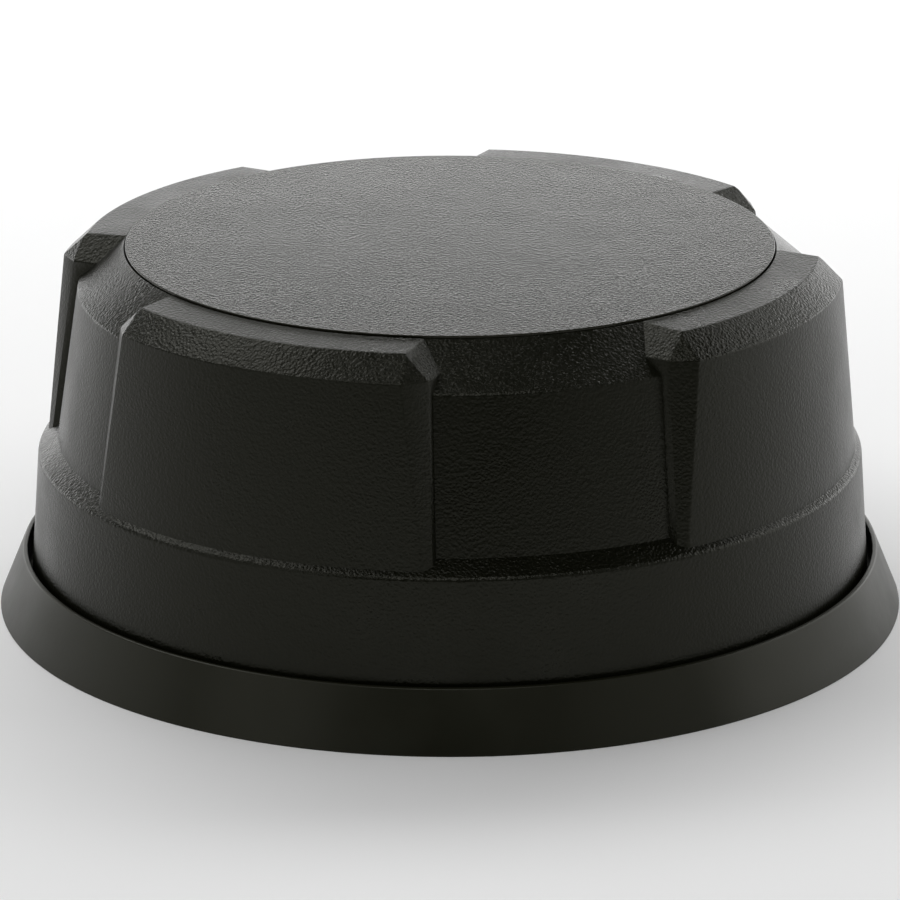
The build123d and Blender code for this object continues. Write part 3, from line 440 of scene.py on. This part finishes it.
def turned(points, rounds=(), centre=(0.0, 0.0), steps=ROUND_STEPS, segments=4):
    """A bmesh turned from an outline of (radius, height) points about an upright axis."""
    bm = bmesh.new()
    ring = outline_ring(bm, points, rounds, segments)
    bmesh.ops.spin(bm, geom=ring, cent=(0, 0, 0), axis=(0, 0, 1), angle=2 * pi, steps=steps,
                   use_merge=True)
    bmesh.ops.remove_doubles(bm, verts=bm.verts, dist=1e-7)
    bmesh.ops.delete(bm, geom=[edge for edge in bm.edges if not edge.link_faces], context="EDGES")
    bmesh.ops.recalc_face_normals(bm, faces=bm.faces)
    bmesh.ops.translate(bm, verts=bm.verts, vec=(*centre, 0.0))
    return bm


def slice_off(bm, point, normal):
    """Cuts a closed bmesh with a plane, drops what lies outside it and closes the cut."""
    geometry = bm.verts[:] + bm.edges[:] + bm.faces[:]
    cut = bmesh.ops.bisect_plane(bm, geom=geometry, dist=1e-8, plane_co=point, plane_no=normal,
                                 clear_outer=True)
    rim = [e for e in cut["geom_cut"] if isinstance(e, bmesh.types.BMEdge)]
    if rim:
        bmesh.ops.contextual_create(bm, geom=rim)


def combined(name, mesh, operations):
    """A mesh after booleans with other meshes: operations is a list of (kind, mesh) pairs."""
    piece = bpy.data.objects.new(name, mesh)
    bpy.context.scene.collection.objects.link(piece)
    tools = []
    for kind, tool_mesh in operations:
        tool = bpy.data.objects.new(name + "_tool", tool_mesh)
        bpy.context.scene.collection.objects.link(tool)
        tools.append(tool)
        modifier = piece.modifiers.new(kind, "BOOLEAN")
        modifier.operation = kind
        modifier.solver = "EXACT"
        modifier.object = tool
    graph = bpy.context.evaluated_depsgraph_get()
    result = bpy.data.meshes.new_from_object(piece.evaluated_get(graph))
    result.name = name
    for extra in [piece, *tools]:
        bpy.data.objects.remove(extra)
    return result


# ---------------------------------------------------------------- dome
LUG_END_HEADING = radians(-49.6)
LUG_CORNER_HEADING = radians(-9.3)
LUG_END_OFFSETS = (20.85 * MM, 25.15 * MM)  # from the dome's axis: at the crest, at the top of the wall
LUG_CORNER_OFFSETS = (55.5 * MM, 58.75 * MM)
LUG_END_LEAN = radians(4.7)
LUG_CORNER_LEAN = radians(8.0)
LUG_SPAN = radians(60)
LUG_STEPS = 60
CORE_RADIUS = 53.0 * MM
CROWN_THICKNESS = 3.9 * MM  # from the top of the rim to the ceiling under the disc's seat


def lug_bmesh(sizes, rim_radius, rim):
    """One lug, between the notches on +X and +Y, with rounded edges."""
    bm = bmesh.new()
    slope = (rim - sizes.lug_crest) / (sizes.lug_crest_radius - rim_radius)
    ring = outline_ring(bm, [
        (CORE_RADIUS, sizes.lug_foot),
        (sizes.lug_foot_radius, sizes.lug_foot),
        (sizes.lug_wall_radius, sizes.lug_wall_top),
        (sizes.lug_crest_radius, sizes.lug_crest),
        (CORE_RADIUS, rim + slope * (rim_radius - CORE_RADIUS)),
    ])
    start = (QUARTER_TURN - LUG_SPAN) / 2
    bmesh.ops.rotate(bm, verts=bm.verts, cent=(0, 0, 0), matrix=Matrix.Rotation(start, 3, "Z"))
    first_rim = [g for g in ring if isinstance(g, bmesh.types.BMEdge)]
    swept = bmesh.ops.spin(bm, geom=ring, cent=(0, 0, 0), axis=(0, 0, 1), angle=LUG_SPAN, steps=LUG_STEPS)
    last_rim = [g for g in swept["geom_last"] if isinstance(g, bmesh.types.BMEdge)]
    bmesh.ops.contextual_create(bm, geom=first_rim)
    bmesh.ops.contextual_create(bm, geom=last_rim)
    bmesh.ops.recalc_face_normals(bm, faces=bm.faces)
    rise = sizes.lug_crest - sizes.lug_wall_top
    end_crest, end_wall = LUG_END_OFFSETS
    corner_crest, corner_wall = LUG_CORNER_OFFSETS
    kinds = (
        (LUG_END_HEADING, end_wall, LUG_END_LEAN),
        (LUG_END_HEADING, end_wall, atan2(end_wall - end_crest, rise)),
        (LUG_CORNER_HEADING, corner_wall, LUG_CORNER_LEAN),
        (LUG_CORNER_HEADING, corner_wall, atan2(corner_wall - corner_crest, rise)),
    )
    for heading, offset, lean in kinds:
        for turn in (heading, QUARTER_TURN - heading):
            out = Vector((cos(turn), sin(turn), 0.0))
            point = out * offset + Vector((0, 0, sizes.lug_wall_top))
            slice_off(bm, point, out * cos(lean) + Vector((0, 0, sin(lean))))
    bmesh.ops.remove_doubles(bm, verts=bm.verts, dist=2e-6)
    bmesh.ops.dissolve_degenerate(bm, edges=bm.edges, dist=2e-6)
    crisp = [e for e in bm.edges if len(e.link_faces) == 2 and e.calc_face_angle(0.0) > radians(15)
             and min(v.co.z for v in e.verts) > sizes.lug_foot + MM]
    bmesh.ops.bevel(bm, geom=crisp, offset=sizes.edge_round, offset_type="OFFSET", segments=2, profile=0.5,
                    affect="EDGES", material=-1, clamp_overlap=False, miter_outer="SHARP", loop_slide=True)
    return bm


class RECEIVER_OT_radome(bpy.types.Operator):
    """Moulded dome with its band, ledge, four lugs and the seat of the crown disc"""

    bl_idname = "receiver.radome"
    bl_label = "Radome"

    def execute(self, context):
        sizes = settings()[0]
        foot = foot_of("radome")
        rim = top_of("radome")
        foot_radius = radius_of("radome")
        disc_radius = radius_of("top_cap")
        seat = foot_of("cap_adhesive")
        seam_radius = disc_radius + sizes.seam
        past = MM  # how far the blank's cone runs on, past the seam, for the seat to cut
        past_rim = rim + past * (rim - sizes.recess_top) / (sizes.recess_top_radius - seam_radius)
        core = mesh_of(turned([
            (0.0, foot),
            (foot_radius, foot),
            (sizes.band_top_radius, sizes.band_top),
            (sizes.recess_foot_radius, sizes.recess_foot),
            (sizes.recess_top_radius, sizes.recess_top),
            (seam_radius - past, past_rim),
            (0.0, past_rim),
        ], rounds=((2, 0.5 * MM), (4, 0.35 * MM))), "radome_core")
        lugs = bmesh.new()
        for number in range(QUARTERS):
            one = lug_bmesh(sizes, seam_radius, rim)
            bmesh.ops.rotate(one, verts=one.verts, cent=(0, 0, 0),
                             matrix=Matrix.Rotation(number * QUARTER_TURN, 3, "Z"))
            part = bpy.data.meshes.new("lug")
            one.to_mesh(part)
            one.free()
            lugs.from_mesh(part)
            bpy.data.meshes.remove(part)
        above = rim + 5 * MM
        edge = 0.1 * MM
        seat_tool = mesh_of(turned([
            (0.0, seat), (seam_radius, seat), (seam_radius, rim - edge), (seam_radius + edge, rim),
            (seam_radius + edge, above), (0.0, above)]), "seat")
        wall = sizes.wall
        below = foot - 5 * MM
        cavity_tool = mesh_of(turned([
            (0.0, below),
            (foot_radius - wall, below),
            (foot_radius - wall, foot),
            (sizes.band_top_radius - 0.9 * wall, sizes.band_top - 0.6 * wall),
            (sizes.recess_foot_radius - 0.95 * wall, sizes.recess_foot - 0.55 * wall),
            (sizes.recess_top_radius - 0.95 * wall, sizes.recess_top - 0.5 * wall),
            (seam_radius + 0.3 * MM, rim - CROWN_THICKNESS),
            (0.0, rim - CROWN_THICKNESS),
        ]), "cavity")
        shell = combined("radome_shell", core, [
            ("UNION", mesh_of(lugs, "lugs")), ("DIFFERENCE", seat_tool), ("DIFFERENCE", cavity_tool)])
        finished("radome_shell", shell, shell_plastic(), "housing", ["radome"])
        return {"FINISHED"}


class RECEIVER_OT_crown_disc(bpy.types.Operator):
    """Textured disc let into the crown"""

    bl_idname = "receiver.crown_disc"
    bl_label = "Crown disc"

    def execute(self, context):
        trim = settings()[1]
        top, under, radius = top_of("top_cap"), foot_of("top_cap"), radius_of("top_cap")
        disc = turned([(0.0, under), (radius, under), (radius, top), (0.0, top)],
                      rounds=((2, trim.disc_edge),), segments=5)
        finished("crown_disc", mesh_of(disc, "crown_disc"), disc_plastic(), "housing",
                 ["top_cap"])
        return {"FINISHED"}


class RECEIVER_OT_skirt(bpy.types.Operator):
    """Flared rubber skirt round the foot"""

    bl_idname = "receiver.skirt"
    bl_label = "Skirt"

    def execute(self, context):
        trim = settings()[1]
        low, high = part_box("skirt_boot")
        outer = high.x
        flange_low, flange_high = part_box("base_plate")
        flange_radius = (flange_high.x - flange_low.x) / 2
        ledge = foot_of("radome")
        lip_inner = trim.lip_radius - trim.lip_width
        skirt = turned([
            (trim.foot_inner, low.z), (outer, low.z), (trim.lip_radius, high.z), (lip_inner, high.z),
            (lip_inner, ledge), (flange_radius, ledge), (flange_radius, trim.foot_thickness),
            (trim.foot_inner, trim.foot_thickness)],
            rounds=((1, 0.25 * MM), (2, trim.lip_round), (3, trim.lip_round)))
        finished("skirt", mesh_of(skirt, "skirt"), skirt_rubber(), "housing",
                 ["skirt_boot"])
        return {"FINISHED"}


# ---------------------------------------------------------------- underside
POLE_ROOT = 6.85 * MM
POLE_CREST = 7.9 * MM
POLE_STEPS = 48
BRACKET_RADIUS = 3.2 * MM
BRACKET_ROOT = 2.1 * MM
BRACKET_CREST = 2.5 * MM
BRACKET_STEPS = 24
BRACKET_CIRCLE = 45 * MM
SCREW_HEAD = 3.9 * MM
SCREW_SHANK = 1.95 * MM
SCREW_SEAT = 4.4 * MM
SCREW_SOCKET = 1.7 * MM
SCREW_SOCKET_DEPTH = 1.5 * MM
SCREW_CIRCLE = 60.5 * MM
SCREW_COUNT = 8
CAP_GROOVES = 24
STEPS_PER_GROOVE = 8


def threaded_core(root, crest, pitch, low, high, per_turn):
    """A closed threaded rod standing on the Z axis, for cutting a thread. Its ends are at low and high."""
    bm = bmesh.new()
    flat = pitch / 8
    points = ((root, 0.0), (root, flat), (crest, pitch / 2 - flat / 2), (crest, pitch / 2 + flat / 2),
              (root, pitch - flat), (root, pitch))
    start = low - 2 * pitch
    verts = [bm.verts.new((r, 0.0, start + z)) for r, z in points]
    edges = [bm.edges.new(pair) for pair in zip(verts, verts[1:])]
    turns = ceil((high - low) / pitch) + 3
    steps = turns * per_turn
    bmesh.ops.spin(bm, geom=verts + edges, cent=(0, 0, 0), axis=(0, 0, 1), angle=2 * pi * turns,
                   steps=steps, dvec=(0, 0, pitch / per_turn))
    bmesh.ops.remove_doubles(bm, verts=bm.verts, dist=1e-6)
    slice_off(bm, (0, 0, high), (0, 0, 1))
    slice_off(bm, (0, 0, low), (0, 0, -1))
    loose = [v for v in bm.verts if not v.link_faces]
    bmesh.ops.delete(bm, geom=loose, context="VERTS")
    bmesh.ops.recalc_face_normals(bm, faces=bm.faces)
    return bm


def mended(mesh):
    """Closes the pinholes that a Boolean leaves where a thread runs out."""
    bm = bmesh.new()
    bm.from_mesh(mesh)
    bmesh.ops.remove_doubles(bm, verts=bm.verts, dist=0.005 * MM)
    bmesh.ops.dissolve_degenerate(bm, edges=bm.edges, dist=0.002 * MM)
    bmesh.ops.delete(bm, geom=[edge for edge in bm.edges if not edge.link_faces], context="EDGES")
    bmesh.ops.holes_fill(bm, edges=[edge for edge in bm.edges if edge.is_boundary], sides=0)
    bmesh.ops.recalc_face_normals(bm, faces=bm.faces)
    bm.to_mesh(mesh)
    bm.free()
    return mesh


def threaded_sleeve(name, radius, low, high, thread, mouth):
    """A sleeve with a tapped bore right through it, standing on the Z axis.

    thread is (root radius, crest radius, pitch, steps a turn)."""
    minor, major, pitch, per_turn = thread
    blank = mesh_of(turned([(0.0, low), (radius, low), (radius, high), (0.0, high)],
                           rounds=((1, mouth), (2, mouth)), steps=96, segments=2), name)
    last_turn = high - 1.5 * pitch
    bore = mesh_of(threaded_core(minor, major, pitch, low - MM, last_turn, per_turn), "bore")
    plain = minor - 0.03 * MM
    through = mesh_of(turned([(0.0, low + pitch), (plain, low + pitch), (plain, high + MM),
                              (0.0, high + MM)], steps=61), "through")
    lead_top = low + major + 0.1 * MM - minor
    lead = mesh_of(turned([(0.0, low - MM), (major + MM, low - MM), (minor, lead_top), (0.0, lead_top)],
                          steps=96), "lead")
    cuts = [("DIFFERENCE", tool) for tool in (bore, lead, through)]
    return mended(combined(name, blank, cuts))


def repeated(name, mesh, places):
    """One mesh that holds a copy of a mesh at each of the places."""
    bm = bmesh.new()
    for x, y in places:
        before = len(bm.verts)
        bm.from_mesh(mesh)
        bm.verts.ensure_lookup_table()
        bmesh.ops.translate(bm, verts=bm.verts[before:], vec=(x, y, 0.0))
    bpy.data.meshes.remove(mesh)
    return mesh_of(bm, name)


def ring_places(radius, count, start):
    """Points evenly round a circle."""
    return [(radius * cos(start + 2 * pi * n / count), radius * sin(start + 2 * pi * n / count))
            for n in range(count)]


class RECEIVER_OT_threads(bpy.types.Operator):
    """Tapped pole insert in the middle, and the four tapped bracket inserts round it"""

    bl_idname = "receiver.threads"
    bl_label = "Tapped inserts"

    def execute(self, context):
        trim = settings()[1]
        low, high = foot_of("pole_insert"), top_of("pole_insert")
        pole = threaded_sleeve("pole_socket", radius_of("pole_insert"), low, high,
                               (POLE_ROOT, POLE_CREST, trim.pole_pitch, POLE_STEPS), 0.4 * MM)
        finished("pole_socket", pole, steel(), "housing", ["pole_insert"])
        low, high = foot_of("mounting_inserts"), top_of("mounting_inserts")
        thread = (BRACKET_ROOT, BRACKET_CREST, trim.bracket_pitch, BRACKET_STEPS)
        bracket = threaded_sleeve("bracket_sockets", BRACKET_RADIUS, low, high, thread, 0.15 * MM)
        places = ring_places(BRACKET_CIRCLE, QUARTERS, QUARTER_TURN / 2)
        bracket = repeated("bracket_sockets", bracket, places)
        finished("bracket_sockets", bracket, brass(), "housing",
                 ["mounting_inserts"])
        return {"FINISHED"}


class RECEIVER_OT_screws(bpy.types.Operator):
    """Socket screws that hold the base to the dome"""

    bl_idname = "receiver.screws"
    bl_label = "Base screws"

    def execute(self, context):
        low, high = foot_of("base_screws"), top_of("base_screws")
        blank = mesh_of(turned([(0.0, low), (SCREW_HEAD, low), (SCREW_HEAD, SCREW_SEAT),
                                (SCREW_SHANK, SCREW_SEAT), (SCREW_SHANK, high), (0.0, high)],
                               rounds=((1, 0.9 * MM), (4, 0.4 * MM)), steps=64), "screw")
        socket = bmesh.new()
        bmesh.ops.create_cone(socket, cap_ends=True, segments=6, radius1=SCREW_SOCKET,
                              radius2=SCREW_SOCKET, depth=2 * SCREW_SOCKET_DEPTH,
                              matrix=Matrix.Translation((0, 0, low)))
        screw = combined("base_screw", blank, [("DIFFERENCE", mesh_of(socket, "socket"))])
        places = ring_places(SCREW_CIRCLE, SCREW_COUNT, pi / SCREW_COUNT)
        screws = repeated("base_screw_set", screw, places)
        finished("base_screw_set", screws, steel(), "housing", ["base_screws"])
        return {"FINISHED"}


class RECEIVER_OT_dust_cap(bpy.types.Operator):
    """Knurled dust cap that screws on to the data port"""

    bl_idname = "receiver.dust_cap"
    bl_label = "Dust cap"

    def execute(self, context):
        trim = settings()[1]
        low, high = foot_of("port_cap"), top_of("port_cap")
        radius = radius_of("port_cap")
        centre = centre_of("port_cap")
        cap = turned([(0.0, low), (radius, low), (radius, high), (trim.cap_bore, high),
                      (trim.cap_bore, trim.cap_floor), (0.0, trim.cap_floor)],
                     rounds=((1, 0.5 * MM), (2, 0.5 * MM), (3, 0.2 * MM)),
                     steps=CAP_GROOVES * STEPS_PER_GROOVE)
        for vert in cap.verts:
            reach = sqrt(vert.co.x ** 2 + vert.co.y ** 2)
            dip = max(0.0, cos(atan2(vert.co.y, vert.co.x) * CAP_GROOVES)) * trim.knurl_depth
            if reach > radius - dip:
                vert.co.x *= (radius - dip) / reach
                vert.co.y *= (radius - dip) / reach
        bmesh.ops.translate(cap, verts=cap.verts, vec=(centre.x, centre.y, 0.0))
        finished("dust_cap_shell", mesh_of(cap, "dust_cap_shell"), cap_metal(), "dust_cap",
                 ["port_cap"])
        return {"FINISHED"}


# ---------------------------------------------------------------- CAD nodes that stay
class RECEIVER_OT_carried_over(bpy.types.Operator):
    """Finishes for the CAD pieces whose shape is right as it is"""

    bl_idname = "receiver.carried_over"
    bl_label = "Carried-over pieces"

    def execute(self, context):
        for node, piece in FRAME["nodes"].items():
            if piece.hide_render:
                continue
            piece.data.materials.clear()
            piece.data.materials.append(inner_finish(slot_of(node)))
            piece.data.polygons.foreach_set("use_smooth", [True] * len(piece.data.polygons))
            join = piece.modifiers.new("Join corners", "WELD")
            join.merge_threshold = 0.001 * MM
            split = piece.modifiers.new("Crisp edges", "EDGE_SPLIT")
            split.split_angle = radians(30)
        return {"FINISHED"}


# ---------------------------------------------------------------- stage
def soft_light(name, place, aim, size, brightness):
    """A large soft area light. Its brightness is the radiance of its face."""
    lamp = bpy.data.lights.new(name, "AREA")
    lamp.shape = "RECTANGLE"
    lamp.size, lamp.size_y = size
    lamp.energy = pi * size[0] * size[1] * brightness
    light = bpy.data.objects.new(name, lamp)
    light.location = place
    light.rotation_euler = (Vector(aim) - Vector(place)).to_track_quat("-Z", "Y").to_euler()
    bpy.context.scene.collection.objects.link(light)


class RECEIVER_OT_stage(bpy.types.Operator):
    """Pale floor, soft lights and the camera"""

    bl_idname = "receiver.stage"
    bl_label = "Stage"

    def execute(self, context):
        finishes, view = settings()[2:]
        bm = bmesh.new()
        bmesh.ops.create_grid(bm, x_segments=8, y_segments=8, size=6.0)
        mesh = bpy.data.meshes.new("floor")
        bm.to_mesh(mesh)
        bm.free()
        material, tree, shader = start_material("Pale floor")
        shader.inputs["Base Color"].default_value = (*finishes.floor, 1.0)
        shader.inputs["Roughness"].default_value = 0.8
        mesh.materials.append(material)
        floor = bpy.data.objects.new("floor", mesh)
        context.scene.collection.objects.link(floor)

        world = bpy.data.worlds.new("Studio")
        world.use_nodes = True
        world.node_tree.nodes["Background"].inputs["Color"].default_value = (1.0, 1.0, 1.0, 1.0)
        world.node_tree.nodes["Background"].inputs["Strength"].default_value = 0.04
        context.scene.world = world

        turn = Matrix.Rotation(view.azimuth, 3, "Z")
        middle = (0.0, 0.0, 0.03)
        for name, place, size, brightness in (
            ("Back low", (0.0, 0.75, 0.13), (2.0, 0.26), 2.3),
            ("Back high", (0.0, 0.75, 0.95), (1.4, 0.4), 4.4),
            ("Left low", (-0.8, 0.25, 0.16), (1.2, 0.3), 0.85),
            ("Left high", (-0.6, 0.15, 0.9), (0.8, 0.5), 2.6),
            ("Right low", (0.8, 0.25, 0.16), (1.2, 0.3), 1.25),
            ("Right middle", (0.8, 0.2, 0.5), (1.0, 0.35), 1.9),
            ("Front left", (-0.75, -0.7, 0.4), (0.6, 0.5), 0.85),
            ("Front right", (0.75, -0.7, 0.4), (0.6, 0.5), 0.4),
            ("Front high", (0.0, -0.8, 1.0), (0.8, 0.4), 3.0),
        ):
            soft_light(name, turn @ Vector(place), middle, size, brightness)

        lens = bpy.data.cameras.new("Camera")
        lens.lens = view.lens
        lens.sensor_width = 36.0
        lens.clip_start = 0.01
        camera = bpy.data.objects.new("Camera", lens)
        aim = Vector((0.0, 0.0, view.aim))
        back = Vector((sin(view.azimuth) * cos(view.elevation), -cos(view.azimuth) * cos(view.elevation),
                       sin(view.elevation)))
        camera.location = aim + back * view.distance
        camera.rotation_euler = (-back).to_track_quat("-Z", "Y").to_euler()
        context.scene.collection.objects.link(camera)
        context.scene.camera = camera
        context.scene.view_settings.view_transform = "Standard"
        return {"FINISHED"}


# ---------------------------------------------------------------- panel and run
STEPS = (RECEIVER_OT_radome, RECEIVER_OT_crown_disc, RECEIVER_OT_skirt, RECEIVER_OT_threads,
         RECEIVER_OT_screws, RECEIVER_OT_dust_cap, RECEIVER_OT_carried_over, RECEIVER_OT_stage)
GROUPS = {"receiver_shell": ShellSizes, "receiver_trim": TrimSizes, "receiver_finishes": Finishes,
          "receiver_view": View}


class RECEIVER_PT_panel(bpy.types.Panel):
    """Lists the receiver's pieces and settings."""

    bl_label = "GNSS receiver"
    bl_space_type = "VIEW_3D"
    bl_region_type = "UI"
    bl_category = "Receiver"

    def draw(self, context):
        for step in STEPS:
            self.layout.operator(step.bl_idname)
        for group, kind in GROUPS.items():
            box = self.layout.box()
            box.label(text=kind.__name__)
            for prop in kind.__annotations__:
                box.prop(getattr(context.scene, group), prop)


def register():
    """Adds the settings, operators and panel."""
    for kind in (*GROUPS.values(), *STEPS, RECEIVER_PT_panel):
        bpy.utils.register_class(kind)
    for name, kind in GROUPS.items():
        setattr(bpy.types.Scene, name, PointerProperty(type=kind))


def unregister():
    """Takes them away again."""
    for name in GROUPS:
        delattr(bpy.types.Scene, name)
    for kind in (RECEIVER_PT_panel, *reversed(STEPS), *reversed(GROUPS.values())):
        bpy.utils.unregister_class(kind)


def corners(box):
    """A box as plain lists of numbers."""
    return [[float(x) for x in corner] for corner in box]


def main():
    """Makes every piece."""
    register()
    for step in STEPS:
        group, name = step.bl_idname.split(".")
        getattr(getattr(bpy.ops, group), name)()


if __name__ == "__main__":
    main()
